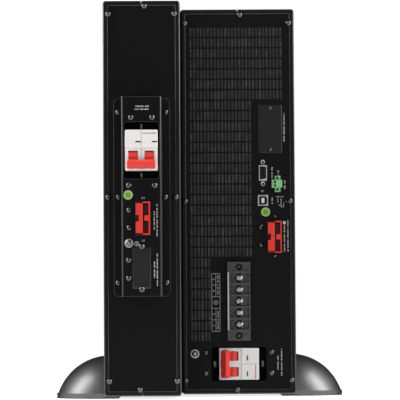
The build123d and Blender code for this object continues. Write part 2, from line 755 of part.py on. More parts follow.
with BuildPart() as serial_shell:
    with BuildSketch(serial_view.offset(-SHEET)):
        Rectangle(SERIAL_WIDE + 2 * SERIAL_PLATE_SIDE, 2 * serial_half)
    extrude(amount=-SERIAL_PLATE)
    with BuildSketch(serial_view.offset(-SHEET)):
        d_outline(0)
    extrude(amount=SERIAL_OUT + SHEET)
    with BuildSketch(serial_view.offset(-SHEET)):
        d_outline(SERIAL_WALL)
    extrude(amount=SERIAL_OUT + SHEET, mode=Mode.SUBTRACT)
write(serial_shell, "serial_port_shell")
with BuildPart() as serial_insert:
    with BuildSketch(serial_view.offset(-SHEET)):
        d_outline(SERIAL_WALL)
    extrude(amount=SERIAL_OUT + SHEET - SERIAL_SUNK)
write(serial_insert, "serial_port_insert")
with BuildPart() as jacks:
    with BuildSketch(serial_view):
        with GridLocations(1, JACK_SPACING, 1, 2):
            RegularPolygon(JACK_FLATS / 2, 6, major_radius=False)
    extrude(amount=JACK_OUT)
write(jacks, "serial_jack_screws")

# Two-pole signal plug with screw ears, to the right of the serial port
signal_view = spot(ups_panel, ports_across + SIGNAL_SIDE, serial_up - SIGNAL_DROP)
with BuildPart() as signal:
    with BuildSketch(signal_view):
        Rectangle(SIGNAL_WIDE, SIGNAL_TALL)
    extrude(amount=SIGNAL_OUT)
    with BuildSketch(signal_view):
        with Locations((EAR_SIDE, 0)):
            Rectangle(EAR_WIDE, EAR_TALL)
    extrude(amount=EAR_OUT)
    with BuildSketch(signal_view.offset(SIGNAL_OUT)):
        with Locations((-WIRE_HOLE, 0)):
            with GridLocations(1, WIRE_PITCH, 1, 2):
                Rectangle(WIRE_HOLE, WIRE_HOLE)
    extrude(amount=-WIRE_DEEP, mode=Mode.SUBTRACT)
write(signal, "signal_plug")

# Square data port: shell with two cut corners, and the tongue inside it
data_view = spot(ups_panel, ports_across, data_up)


def data_outline(inset):
    """Square with its +X corners cut off."""
    wide = DATA_WIDE / 2 - inset
    tall = DATA_TALL / 2 - inset
    Polygon(
        (-wide, -tall),
        (wide - DATA_CHAMFER, -tall),
        (wide, DATA_CHAMFER - tall),
        (wide, tall - DATA_CHAMFER),
        (wide - DATA_CHAMFER, tall),
        (-wide, tall),
        align=None,
    )


with BuildPart() as data_shell:
    with BuildSketch(data_view.offset(DATA_OUT)):
        data_outline(0)
    extrude(amount=-(DATA_OUT + DATA_DEEP))
    with BuildSketch(data_view.offset(-SHEET)):
        Rectangle(DATA_WIDE + 2 * DATA_COLLAR, 2 * data_half)
    extrude(amount=-DATA_WALL)
    with BuildSketch(data_view.offset(DATA_OUT)):
        data_outline(DATA_WALL)
    extrude(amount=-(DATA_OUT + DATA_DEEP - DATA_WALL), mode=Mode.SUBTRACT)
write(data_shell, "data_port_shell")
with BuildPart() as data_tongue:
    with BuildSketch(data_view.offset(DATA_WALL - DATA_DEEP)):
        Rectangle(TONGUE_WIDE, TONGUE_TALL)
    extrude(amount=DATA_DEEP - 2 * DATA_WALL)
write(data_tongue, "data_port_tongue")

# Terminal block: base with a high ridge, a low lip on the wire side and barriers between the
# poles, and lower ears with counterbored screw holes
block_view = spot(ups_panel, middle, block_up)
ears_apart = poles_tall + BLOCK_EAR
with BuildPart() as block:
    with BuildSketch(block_view):
        Rectangle(BLOCK_WIDE, poles_tall)
    extrude(amount=BLOCK_BASE)
    with BuildSketch(block_view):
        with Locations((BLOCK_WIDE / 2 - RIDGE / 2, 0)):
            Rectangle(RIDGE, poles_tall)
    extrude(amount=BLOCK_BASE + BLOCK_LIP)
    with BuildSketch(block_view):
        with GridLocations(1, ears_apart, 1, 2):
            Rectangle(BLOCK_WIDE, BLOCK_EAR)
    extrude(amount=EAR_BASE)
    with BuildSketch(block_view):
        with Locations((RIDGE / 2 - BLOCK_WIDE / 2, 0)):
            Rectangle(RIDGE, poles_tall + 2 * BLOCK_EAR)
        with GridLocations(1, BLOCK_PITCH, 1, BLOCK_POLES + 1):
            Rectangle(BLOCK_WIDE, BARRIER)
    extrude(amount=BLOCK_OUT)
    with Locations(block_view.offset(EAR_BASE)):
        with GridLocations(1, ears_apart, 1, 2):
            CounterBoreHole(BLOCK_HOLE, BLOCK_SEAT, BLOCK_SEAT_DEEP, EAR_BASE)
write(block, "terminal_block")
with BuildPart() as terminals:
    with BuildSketch(block_view.offset(BLOCK_BASE)):
        with GridLocations(1, BLOCK_PITCH, 1, BLOCK_POLES):
            Rectangle(WASHER, WASHER)
    extrude(amount=WASHER_THICK)
    with BuildSketch(block_view.offset(BLOCK_BASE + WASHER_THICK)):
        with GridLocations(1, BLOCK_PITCH, 1, BLOCK_POLES):
            Circle(TERMINAL_RADIUS)
    extrude(amount=TERMINAL_HEAD)
write(terminals, "terminal_screws")

# Earth screws, each a round head on a washer
earth_places = [
    spot(
        bracket_front,
        PACK_EARTH_IN - box_wide / 2,
        pack_connector_up - SHELL_TALL / 2 - PACK_EARTH_DROP,
    ),
    spot(ups_panel, UPS_EARTH_IN, UPS_EARTH_UP),
]
with BuildPart() as earths:
    for place in earth_places:
        with BuildSketch(place):
            Circle(EARTH_WASHER)
        extrude(amount=EARTH_WASHER_THICK)
        with BuildSketch(place.offset(EARTH_WASHER_THICK)):
            Circle(EARTH_RADIUS)
        extrude(amount=EARTH_HEAD)
write(earths, "earth_screws")

# Cooling fans against the mesh behind the slots, from the top down
fan_size = mid_columns * VENT_PITCH + 2 * FAN_MARGIN
fan_bore = fan_size - 2 * FAN_WALL
fan_step = fan_size + FAN_GAP
fan_places = []
for step in range(int((HEIGHT - FAN_TOP - mid_from + FAN_GAP) / fan_step)):
    fan_up = HEIGHT - FAN_TOP - fan_size / 2 - step * fan_step
    field_middle = VENT_SIDE + mid_columns * VENT_PITCH / 2
    fan_across = middle if fan_up > wide_from else field_middle
    fan_places.append(spot(ups_panel, fan_across, fan_up))
with BuildPart() as fan_frames:
    for place in fan_places:
        seat = place.offset(-SHEET - MESH_THICK)
        with BuildSketch(seat):
            RectangleRounded(fan_size, fan_size, FAN_CORNER)
            Circle(fan_bore / 2, mode=Mode.SUBTRACT)
        extrude(amount=-FAN_DEEP)
        with BuildSketch(seat):
            Circle(FAN_HUB)
            with PolarLocations(fan_bore / 4, FAN_STRUTS):
                Rectangle(fan_bore / 2 + FAN_LAP, FAN_STRUT)
        extrude(amount=-FAN_BASE)
write(fan_frames, "fan_frames")
blade_wide = (FAN_HUB_DEEP - FAN_BLADE) / sin(radians(FAN_PITCH)) * FAN_FILL
with BuildPart() as fan_rotors:
    for place in fan_places:
        root = place.offset(-SHEET - MESH_THICK - FAN_BASE)
        with BuildSketch(root):
            Circle(FAN_HUB)
        extrude(amount=-FAN_HUB_DEEP)
        for step in range(FAN_BLADES):
            turn = 360 / FAN_BLADES * step
            radial = root.x_dir.rotate(Axis((0, 0, 0), root.z_dir), turn)
            centre = root.origin - root.z_dir * (FAN_HUB_DEEP / 2)
            chord = root.z_dir.rotate(Axis((0, 0, 0), radial), FAN_PITCH + 90)
            blade = Plane(origin=centre, x_dir=chord, z_dir=radial)
            with BuildSketch(blade.offset(FAN_HUB - FAN_ROOT)):
                Rectangle(blade_wide, FAN_BLADE)
            extrude(amount=fan_bore / 2 - FAN_TIP_GAP - FAN_HUB + FAN_ROOT)
write(fan_rotors, "fan_rotors")
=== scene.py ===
from math import atan2, pi, radians

import bmesh
import bpy
from mathutils import Matrix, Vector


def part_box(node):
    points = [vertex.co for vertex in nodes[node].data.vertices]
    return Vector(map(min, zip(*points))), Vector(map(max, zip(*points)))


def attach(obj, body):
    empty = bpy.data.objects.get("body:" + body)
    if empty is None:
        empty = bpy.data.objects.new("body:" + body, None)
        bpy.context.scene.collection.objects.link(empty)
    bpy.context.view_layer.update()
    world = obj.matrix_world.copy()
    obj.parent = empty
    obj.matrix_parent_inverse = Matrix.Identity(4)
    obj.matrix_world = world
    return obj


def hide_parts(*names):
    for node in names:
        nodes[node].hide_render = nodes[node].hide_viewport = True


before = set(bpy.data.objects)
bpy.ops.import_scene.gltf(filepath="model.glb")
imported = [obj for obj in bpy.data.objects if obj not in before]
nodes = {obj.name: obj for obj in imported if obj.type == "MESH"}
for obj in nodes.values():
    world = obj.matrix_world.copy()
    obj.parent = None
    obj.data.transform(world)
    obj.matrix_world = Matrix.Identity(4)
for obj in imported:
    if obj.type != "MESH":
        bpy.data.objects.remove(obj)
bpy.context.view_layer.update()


class Wire:
    """An output socket of a material's node tree. Sums on wires add Math nodes."""

    def __init__(self, tree, socket):
        self.tree = tree
        self.socket = socket

    def node(self, kind, settings, values, out=0):
        """Add a node: its settings come first, then its sockets get values or wires."""
        made = self.tree.nodes.new(kind)
        for key, value in settings.items():
            setattr(made, key, value)
        for key, value in values.items():
            if isinstance(value, Wire):
                self.tree.links.new(value.socket, made.inputs[key])
            else:
                made.inputs[key].default_value = value
        return Wire(self.tree, made.outputs[out])

    def math(self, operation, first, second):
        return self.node("ShaderNodeMath", {"operation": operation}, {0: first, 1: second})

    def __add__(self, other):
        return self.math("ADD", self, other)

    def __radd__(self, other):
        return self.math("ADD", other, self)

    def __sub__(self, other):
        return self.math("SUBTRACT", self, other)

    def __rsub__(self, other):
        return self.math("SUBTRACT", other, self)

    def __mul__(self, other):
        return self.math("MULTIPLY", self, other)

    def __rmul__(self, other):
        return self.math("MULTIPLY", other, self)

    def noise(self, scale, detail=2.0, rough=0.5):
        """Noise of about one unit in 1/scale metres at this wire's coordinates."""
        values = {"Vector": self, "Scale": scale, "Detail": detail, "Roughness": rough}
        return self.node("ShaderNodeTexNoise", {}, values)

    def stretched(self, scale):
        """This wire's coordinates, stretched or squeezed along each axis."""
        return self.node("ShaderNodeMapping", {}, {"Vector": self, "Scale": scale})

    def between(self, low, high):
        """This wire's 0 to 1 spread over another range, held at both ends."""
        values = {"Value": self, "To Min": low, "To Max": high}
        return self.node("ShaderNodeMapRange", {}, values)

    def climb(self, start, end, top=1.0):
        """From 0 to `top` as this wire goes from start to end, held at both ends."""
        values = {"Value": self, "From Min": start, "From Max": end, "To Max": top}
        return self.node("ShaderNodeMapRange", {}, values)

    def tint(self, dark, light):
        """From dark to light, each a colour or a wire, as this wire goes from 0 to 1."""
        ends = [end if isinstance(end, Wire) else (*end, 1) for end in (dark, light)]
        # sockets 6 and 7 of a Mix node are its two colours, and output 2 is the mixed one
        values = {0: self, 6: ends[0], 7: ends[1]}
        return self.node("ShaderNodeMix", {"data_type": "RGBA"}, values, out=2)


class Finish:
    """A material under way: its Principled shader, and object coordinates to start from."""

    def __init__(self, name, **fixed):
        self.material = bpy.data.materials.new(name)
        self.material.use_nodes = True
        tree = self.material.node_tree
        self.shader = tree.nodes["Principled BSDF"]
        place = tree.nodes.new("ShaderNodeTexCoord")
        self.at = Wire(tree, place.outputs["Object"])
        for key, value in fixed.items():
            self.shader.inputs[key.replace("_", " ")].default_value = value

    def feed(self, socket, wire):
        self.shader.id_data.links.new(wire.socket, self.shader.inputs[socket])

    def raise_skin(self, height, depth, edge=0.0):
        """Bump from a height wire, depth metres high, over edges softened by `edge` metres."""
        values = {"Height": height, "Distance": depth, "Strength": 1.0}
        if edge:
            values["Normal"] = height.node("ShaderNodeBevel", {"samples": 4}, {"Radius": edge})
        self.feed("Normal", height.node("ShaderNodeBump", {}, values))


def dress(material, *names):
    """Give CAD nodes a material in place of the one they came with."""
    for name in names:
        piece = nodes[name]
        if not piece.material_slots:
            piece.data.materials.append(material)
        for held in piece.material_slots:
            held.material = material


COAT_BLACK = (0.001, 0.001, 0.0011)
EDGE_SHEEN_STEEL = (0.3, 0.3, 0.3)
# where the painted edge sheen starts and where it is full, as the cosine between a softened edge and its
# sheet
EDGE_SHEEN_START = 0.985
EDGE_SHEEN_FULL = 0.9
# where the coat turns glossy over a bend, as the squared sine of its slope
BEND_START = 0.03
BEND_FULL = 0.2
PEBBLES_HIGH = 0.00006


def powder_coat(name, colour, rough, sheen, edge=0.0006, edge_sheen=0.0):
    """Satin powder coat: pebbled skin, a slow drift in tone, paler specks, thin and glossy over the bends.
    At cut edges it turns to bare metallic steel, up to the share given last, as a painted highlight."""
    coat = Finish(name, Specular_IOR_Level=sheen, Coat_Roughness=0.22, Coat_IOR=1.7)
    drift = coat.at.noise(7.0, 4.0)
    pebbles = coat.at.noise(1500.0, 2.0)
    specks = coat.at.noise(420.0, 1.0).between(-2.2, 1.0)
    dark = [0.72 * c for c in colour]
    light = [1.35 * c for c in colour]
    skin = (0.75 * drift + 0.25 * specks).tint(dark, light)
    # painted highlight: near cut edges the coat turns to bare metallic steel, so that the edges shine
    if edge_sheen:
        rounded = drift.node("ShaderNodeBevel", {"samples": 8}, {"Radius": edge})
        straight = drift.node("ShaderNodeNewGeometry", {}, {}, out="Normal")
        normals = {0: rounded, 1: straight}
        level = drift.node("ShaderNodeVectorMath", {"operation": "DOT_PRODUCT"}, normals, "Value")
        painted_edge_sheen = level.climb(EDGE_SHEEN_START, EDGE_SHEEN_FULL, edge_sheen)
        skin = painted_edge_sheen.tint(skin, EDGE_SHEEN_STEEL)
        coat.feed("Metallic", painted_edge_sheen)
    coat.feed("Base Color", skin)
    coat.feed("Roughness", (0.6 * drift + 0.4 * pebbles).between(rough - 0.1, rough + 0.12))
    facing = drift.node("ShaderNodeTexCoord", {}, {}, out="Normal")
    facing = drift.node("ShaderNodeVectorMath", {"operation": "ABSOLUTE"}, {0: facing})
    x, y, z = (drift.node("ShaderNodeSeparateXYZ", {}, {"Vector": facing}, axis) for axis in "XYZ")
    flat = drift.math("MAXIMUM", drift.math("MAXIMUM", x, y), z)
    bend = (1 - flat * flat).climb(BEND_START, BEND_FULL)
    coat.feed("Coat Weight", bend * drift.between(0.6, 1.0))
    coat.raise_skin(pebbles, PEBBLES_HIGH, edge)
    return coat.material


# the cases' cut edges get the strongest painted highlight of bare steel
case_coat = powder_coat("case_powder_coat", COAT_BLACK, rough=0.34, sheen=0.14, edge=0.0012, edge_sheen=0.38)
dress(case_coat, "battery_tray", "battery_cover", "ups_tray", "ups_cover")

# Front bezels and the sheets behind them
# Moulded black covers that clip over the front of each case, with air-intake slots. The texture is the
# spark-eroded grain of the mould. Behind them the case is closed by plain zinc-plated sheet.


def moulded(name, colour, rough, grain=900.0, depth=0.00004, edge=0.0004, **fixed):
    """Moulded plastic: fine mould grain, faint flow marks, edges that catch the light."""
    plastic = Finish(name, **fixed)
    flow = plastic.at.noise(18.0, 3.0, 0.6)
    pits = plastic.at.noise(grain, 2.0)
    dark = [0.88 * c for c in colour]
    light = [min(1.0, 1.1 * c) for c in colour]
    plastic.feed("Base Color", (0.8 * flow + 0.2 * pits).tint(dark, light))
    plastic.feed("Roughness", (0.5 * flow + 0.5 * pits).between(rough - 0.08, rough + 0.1))
    plastic.raise_skin(pits, depth, edge)
    return plastic.material


def plated(name, colour, rough, grain=(1.0, 1.0, 40.0)):
    """Plated metal: rolling marks along the grain, a clouded film over them."""
    metal = Finish(name, Metallic=1.0)
    marks = metal.at.stretched(grain).noise(160.0, 3.0, 0.6)
    film = metal.at.noise(60.0, 3.0)
    dark = [0.78 * c for c in colour]
    metal.feed("Base Color", (0.5 * marks + 0.5 * film).tint(dark, colour))
    metal.feed("Roughness", (0.6 * marks + 0.4 * film).between(rough - 0.1, rough + 0.16))
    metal.raise_skin(marks, 0.00002, 0.0003)
    return metal.material


bezel_plastic = moulded("bezel_plastic", (0.017, 0.017, 0.018), 0.5, Specular_IOR_Level=0.35)
dress(bezel_plastic, "battery_bezel", "ups_bezel")
dress(plated("zinc_sheet", (0.55, 0.55, 0.54), 0.36), "battery_front_plate", "ups_front_plate")

# Display window and buttons
# A clear-coated black window pressed into the power module's bezel, and four soft grey keys below it.
# Both are moulded, and the bezel holds them.
window_gloss = Finish("display_window", Specular_IOR_Level=0.5, Coat_Weight=0.7, Coat_Roughness=0.04)
smears = window_gloss.at.noise(45.0, 4.0)
window_gloss.feed("Base Color", smears.tint((0.006, 0.007, 0.009), (0.012, 0.013, 0.016)))
window_gloss.feed("Roughness", smears.between(0.06, 0.2))
dress(window_gloss.material, "display_window")
dress(moulded("button_rubber", (0.12, 0.12, 0.125), 0.55), "display_buttons")

# Tower feet
# Half domes moulded in black plastic with a stepped rim and a dark sheen. A flat tongue on each runs
# under the cabinet, which stands on it.
FOOT_DARK = (0.13, 0.13, 0.13)
FOOT_LIGHT = (0.17, 0.17, 0.17)
foot_gloss = Finish("foot_gloss", Metallic=1.0, Specular_Tint=(0.02, 0.02, 0.02, 1))
haze = foot_gloss.at.noise(26.0, 3.0)
dust = foot_gloss.at.noise(900.0, 1.0).between(-3.0, 1.0)
foot_gloss.feed("Base Color", (0.6 * haze + 0.4 * dust).tint(FOOT_DARK, FOOT_LIGHT))
foot_gloss.feed("Roughness", haze.between(0.37, 0.45))
foot_gloss.raise_skin(haze, 0.0001)
dress(foot_gloss.material, "left_feet", "right_feet")

# Rear panels, and the bracket on the battery pack
# Flat sheet behind the rim of each case, and a hat-section bracket folded from the same sheet and
# screwed on by its side flanges. Coated as the cases are, with stronger painted highlights of bare steel
# along the bracket's edges.
PANEL_ROUGH = 0.36
PANEL_SHEEN = 0.095
PANEL_EDGE = 0.0009
panel_coat = powder_coat("panel_powder_coat", COAT_BLACK, PANEL_ROUGH, PANEL_SHEEN, PANEL_EDGE, edge_sheen=0.08)
dress(panel_coat, "battery_rear_panel", "ups_rear_panel")
bracket_coat = powder_coat(
    "bracket_powder_coat", COAT_BLACK, PANEL_ROUGH, PANEL_SHEEN, PANEL_EDGE, edge_sheen=0.3
)
dress(bracket_coat, "connector_bracket")

# Black screws of the rims, the bracket and the plates
# Pan heads with a cross recess, blackened steel. They hold the panels to the folded rims, the bracket
# to its panel, and the plates, connectors and breakers to the sheet they stand on.
MM = 0.001


def deselect():
    """Leave nothing selected, so that an operator acts on the next primitive alone."""
    bpy.ops.object.select_all(action="DESELECT")


def edit(piece):
    """Edit one piece by its faces."""
    bpy.context.view_layer.objects.active = piece
    bpy.ops.object.mode_set(mode="EDIT")
    bpy.context.tool_settings.mesh_select_mode = (False, False, True)


def pick(piece, test):
    """In edit mode, select the faces whose middle and normal pass the test."""
    shape = bmesh.from_edit_mesh(piece.data)
    for face in shape.faces:
        face.select_set(False)
    for face in shape.faces:
        if test(face.calc_center_median(), face.normal):
            face.select_set(True)
    bmesh.update_edit_mesh(piece.data)


def upward(middle, normal):
    return normal.z > 0.9


def done():
    bpy.ops.object.mode_set(mode="OBJECT")


def cross_cutter(reach, thick, top, deep):
    """Plus-shaped block that cuts a cross recess from `top` down."""
    deselect()
    bpy.ops.mesh.primitive_cube_add(size=thick, location=(0, 0, top))
    cutter = bpy.context.object
    edit(cutter)
    bpy.ops.transform.resize(value=(1, 1, 2 * deep / thick), center_override=(0, 0, top))
    pick(cutter, lambda middle, normal: abs(normal.z) < 0.5)
    bpy.ops.mesh.extrude_faces_move(TRANSFORM_OT_shrink_fatten={"value": reach})
    done()
    return cutter


# a pan head as shares of its radius and rise: the straight skirt, the dome's insets and lifts, the recess
SKIRT = 0.25
DOME = ((0.15, 0.3), (0.25, 0.3), (0.25, 0.15))
ARM_REACH = 0.5
ARM_THICK = 0.26
RECESS_DEEP = 0.5


def cross_screw(name, radius, rise, washer=None):
    """Pan head at the origin facing +Z: a domed disc with a cross recess, on a washer if one is made."""
    foot = 0 if washer is None else max(v.co.z for v in washer.data.vertices)
    skirt = SKIRT * rise
    deselect()
    bpy.ops.mesh.primitive_cylinder_add(
        vertices=24, radius=radius, depth=skirt, location=(0, 0, foot + skirt / 2)
    )
    head = bpy.context.object
    edit(head)
    pick(head, upward)
    for inset, lift in DOME:
        bpy.ops.mesh.inset(thickness=inset * radius)
        bpy.ops.transform.translate(value=(0, 0, lift * rise))
    done()
    cutter = cross_cutter(ARM_REACH * radius, ARM_THICK * radius, foot + rise, RECESS_DEEP * rise)
    cut = head.modifiers.new("recess", "BOOLEAN")
    cut.operation = "DIFFERENCE"
    cut.solver = "EXACT"
    cut.object = cutter
    bpy.context.view_layer.objects.active = head
    bpy.ops.object.modifier_apply(modifier=cut.name)
    bpy.data.objects.remove(cutter)
    deselect()
    head.select_set(True)
    if washer is not None:
        washer.select_set(True)
        bpy.ops.object.join()
    bpy.ops.object.shade_smooth_by_angle(angle=0.6)
    head.name = name
    return head


def rear(x, y, z, turn=0.0):
    """Where a piece modelled facing +Z goes: facing -Y at that place, turned in the panel's plane."""
    flat = Matrix.Rotation(pi / 2, 4, "X") @ Matrix.Rotation(turn, 4, "Z")
    return Matrix.Translation((x, y, z)) @ flat


def copies(model, places):
    """Copies of a model, each with its own mesh moved to its place."""
    made = []
    for place in places:
        mesh = model.data.copy()
        mesh.transform(place)
        piece = bpy.data.objects.new(model.name, mesh)
        bpy.context.scene.collection.objects.link(piece)
        made.append(piece)
    return made


def gather(name, pieces, material, body="cabinets"):
    """Join pieces into one under a name, with a material, that rides on a body."""
    deselect()
    for piece in pieces:
        piece.select_set(True)
    bpy.context.view_layer.objects.active = pieces[0]
    if len(pieces) > 1:
        bpy.ops.object.join()
    whole = bpy.context.object
    whole.name = name
    whole.data.name = name
    whole.data.materials.clear()
    whole.data.materials.append(material)
    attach(whole, body)
    return whole


battery_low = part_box("battery_tray")[0]
ups_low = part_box("ups_tray")[0]
bracket_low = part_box("connector_bracket")[0]
panel_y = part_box("ups_rear_panel")[0].y
spare_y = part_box("spare_connector_cover")[0].y
cover_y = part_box("expansion_cover")[0].y


def on_battery(across, up, y, turn=0.0):
    """Place on the battery pack's rear, in millimetres from its lower left corner."""
    return rear(battery_low.x + across * MM, y, battery_low.z + up * MM, turn)


def on_ups(across, up, y, turn=0.0):
    """Place on the power module's rear, in millimetres from its lower left corner."""
    return rear(ups_low.x + across * MM, y, ups_low.z + up * MM, turn)


screw_black = Finish("screw_black_oxide", Metallic=1.0, Specular_Tint=(0.3, 0.3, 0.3, 1))
oxide = screw_black.at.noise(700.0, 3.0)
screw_black.feed("Base Color", oxide.tint((0.05, 0.05, 0.05), (0.11, 0.11, 0.11)))
screw_black.feed("Roughness", oxide.between(0.06, 0.15))
screw_black.raise_skin(oxide, 0.00003)

HEAD = 3.2 * MM
RISE = 2.3 * MM
pan_head = cross_screw("pan_head", HEAD, RISE)
battery_rim = [on_battery(46.4, 433.8, battery_low.y, 0.5), on_battery(40.1, 7.2, battery_low.y, 0.2)]
for across, up in ((6.0, 425.2), (79.6, 425.2), (5.6, 221.0), (80.4, 221.0), (6.2, 16.6), (81.0, 16.6)):
    battery_rim.append(on_battery(across, up, battery_low.y, across + up))
ups_rim = [on_ups(67.8, 433.4, ups_low.y, 0.9), on_ups(63.0, 5.2, ups_low.y, 0.4)]
for across, up in ((4.6, 424.0), (123.6, 424.0), (4.4, 220.0), (123.8, 220.0), (4.6, 16.0), (124.8, 15.8)):
    ups_rim.append(on_ups(across, up, ups_low.y, across + up))
bracket_screws = []
for across, up in ((16.8, 315.6), (69.6, 315.6), (17.2, 221.0), (68.8, 221.0),
                   (16.4, 126.0), (69.8, 126.0)):
    bracket_screws.append(on_battery(across, up, battery_low.y, up + across))
for across, up in ((31.5, 307.8), (54.8, 307.8), (29, 232.8), (57.4, 232.8), (29.4, 205.6),
                   (29.4, 186.3), (28.7, 150.4), (28.7, 130.4)):
    bracket_screws.append(on_battery(across, up, bracket_low.y, up))
for up in (118.4, 165.2):
    bracket_screws.append(on_battery(43, up, spare_y, up))
plate_screws = [on_ups(90.5, 190.2, panel_y, 0.4), on_ups(90.5, 170.4, panel_y, 1.2)]
for across in (27.3, 102.1):
    for up in (47.6, 23.9):
        plate_screws.append(on_ups(across, up, panel_y, across + up))
gather("battery_rim_screws", copies(pan_head, battery_rim), screw_black.material)
gather("bracket_screws", copies(pan_head, bracket_screws), screw_black.material)
gather("ups_rim_screws", copies(pan_head, ups_rim), screw_black.material)
gather("ups_plate_screws", copies(pan_head, plate_screws), screw_black.material)

SMALL_HEAD = 1.9 * MM
SMALL_RISE = 1.2 * MM
small_head = cross_screw("small_head", SMALL_HEAD, SMALL_RISE)
small_places = [on_battery(44.6, up, bracket_low.y, up) for up in (218.4, 172.0)]
small_places += [on_ups(101.7, up, cover_y, up) for up in (326.2, 278.8)]
small_places += [on_ups(106.3, up, panel_y, up) for up in (202.0, 157.4)]
gather("small_screws", copies(small_head, small_places), screw_black.material)

# Breaker pockets
# Pressed steel pans behind the two windows, coated dead black so that the white noses stand out. The
# screws beside each window hold them.
pocket_coat = powder_coat("pocket_coat", (0.0008, 0.0008, 0.0008), rough=0.62, sheen=0.03)
dress(pocket_coat, "pack_breaker_pocket", "input_breaker_pocket")

# Breakers
# Two-pole breakers in white thermoplastic, with a raised head, a dark flag window in each pole and a red
# line printed on the head. Their noses stand through the windows in the sheet.
breaker_white = moulded("breaker_white", (0.76, 0.745, 0.74), 0.36, grain=500.0, depth=0.00002, edge=0.0005)
dress(breaker_white, "pack_breaker_body", "input_breaker_body")


def thin_plate(name, wide, tall, thick, corner):
    """Flat plate on the origin facing +Z, with rounded corners: a print, a strip or a flag."""
    deselect()
    bpy.ops.mesh.primitive_plane_add(size=1, location=(0, 0, 0))
    plate = bpy.context.object
    edit(plate)
    bpy.ops.transform.resize(value=(wide, tall, 1), center_override=(0, 0, 0))
    bpy.context.tool_settings.mesh_select_mode = (True, False, False)
    bpy.ops.mesh.select_all(action="SELECT")
    bpy.ops.mesh.bevel(offset=corner, segments=3, affect="VERTICES")
    bpy.context.tool_settings.mesh_select_mode = (False, False, True)
    bpy.ops.mesh.select_all(action="SELECT")
    bpy.ops.mesh.extrude_region_move(TRANSFORM_OT_translate={"value": (0, 0, thick)})
    bpy.ops.mesh.select_all(action="SELECT")
    bpy.ops.mesh.normals_make_consistent(inside=False)
    done()
    plate.name = name
    return plate


def drop(*models):
    """Take away models whose copies are in place."""
    for model in models:
        bpy.data.objects.remove(model)


def ink(name, colour, rough=0.45):
    """Screen-printed ink: broken a little by the coat under it."""
    film = Finish(name, Specular_IOR_Level=0.3)
    grain = film.at.noise(2400.0, 2.0)
    dark = [0.7 * c for c in colour]
    film.feed("Base Color", grain.tint(dark, colour))
    film.feed("Roughness", grain.between(rough - 0.1, rough + 0.15))
    film.raise_skin(grain, 0.00002)
    return film.material


pack_low, pack_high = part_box("pack_breaker_body")
input_low, input_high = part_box("input_breaker_body")
pack_middle = (pack_low + pack_high) / 2
input_middle = (input_low + input_high) / 2
INK = 0.06 * MM
NOSE_HALF = 22.5 * MM
POLE = 9.0 * MM
RED_DOWN = 3.9 * MM
FLAG_DOWN = 13.2 * MM
PACK_FLAG_SIDE = 5.6 * MM
INPUT_FLAG_SIDE = 2.2 * MM
flag = thin_plate("flag", wide=5.8 * MM, tall=1.6 * MM, thick=0.1 * MM, corner=0.25 * MM)
red_line = thin_plate("red_line", wide=15.5 * MM, tall=0.9 * MM, thick=INK, corner=0.2 * MM)
pack_top = pack_middle.z + NOSE_HALF
input_top = input_middle.x + NOSE_HALF
red_places = [
    rear(pack_middle.x + POLE, pack_low.y, pack_top - RED_DOWN),
    rear(input_top - RED_DOWN, input_low.y, input_middle.z - POLE, pi / 2),
]
flag_places = []
for pole in (-POLE, POLE):
    pack_across = pack_middle.x + pole + PACK_FLAG_SIDE
    flag_places.append(rear(pack_across, pack_low.y, pack_top - FLAG_DOWN))
    input_up = input_middle.z - pole - INPUT_FLAG_SIDE
    flag_places.append(rear(input_top - FLAG_DOWN, input_low.y, input_up, pi / 2))
flag_black = moulded("flag_black", (0.01, 0.01, 0.01), 0.3, edge=0.0)
gather("breaker_flags", copies(flag, flag_places), flag_black)
red_ink = ink("red_ink", (0.62, 0.06, 0.06))
gather("breaker_red_lines", copies(red_line, red_places), red_ink)
drop(flag, red_line)

# Breaker toggles
# Two levers moulded in glossy red plastic and linked by a bar that is clipped over both. Each pair turns
# on one axle in its breaker.
toggle_red = moulded(
    "toggle_red", (0.61, 0.034, 0.026), 0.32,
    grain=700.0, depth=0.00002, edge=0.0005, Specular_IOR_Level=0.3,
)
dress(toggle_red, "pack_breaker_toggle", "input_breaker_toggle")

# ON and OFF beside the breakers
# Small white letters printed on the floor of each pocket, turned to read upwards: OFF at one end of the
# throw and ON at the other.


def lettering(text, size):
    """Words or figures as a thin mesh on the origin facing +Z, centred."""
    deselect()
    bpy.ops.object.text_add(location=(0, 0, 0))
    words = bpy.context.object
    words.data.body = text
    words.data.size = size
    words.data.align_x = "CENTER"
    words.data.align_y = "CENTER"
    words.data.extrude = INK / 2
    words.data.resolution_u = 3
    bpy.ops.object.convert(target="MESH")
    words = bpy.context.object
    words.name = "lettering"
    return words


white_ink = ink("white_ink", (0.6, 0.6, 0.6))
FLOOR_DEEP = 8.0 * MM
WORD_OUT = 27.2 * MM
PACK_WORD = 3.0 * MM
INPUT_WORD = 4.0 * MM
pack_floor = bracket_low.y + FLOOR_DEEP
input_floor = panel_y + FLOOR_DEEP
switch_words = []
for text, side in (("OFF", -1), ("ON", 1)):
    small = lettering(text, PACK_WORD)
    pack_place = rear(pack_middle.x, pack_floor, pack_middle.z + side * WORD_OUT, pi / 2)
    switch_words += copies(small, [pack_place])
    drop(small)
    large = lettering(text, INPUT_WORD)
    input_place = rear(input_middle.x + side * WORD_OUT, input_floor, input_middle.z, pi / 2)
    switch_words += copies(large, [input_place])
    drop(large)
gather("switch_words", switch_words, white_ink)

# Battery connectors and their contacts
# Red moulded housings that pass through the sheet, held by a small screw at each end, their hollows
# darkened with depth as painted shade. Plated blades lie deep in their open half, painted dark red as shade
# and as a reflection of the housing.


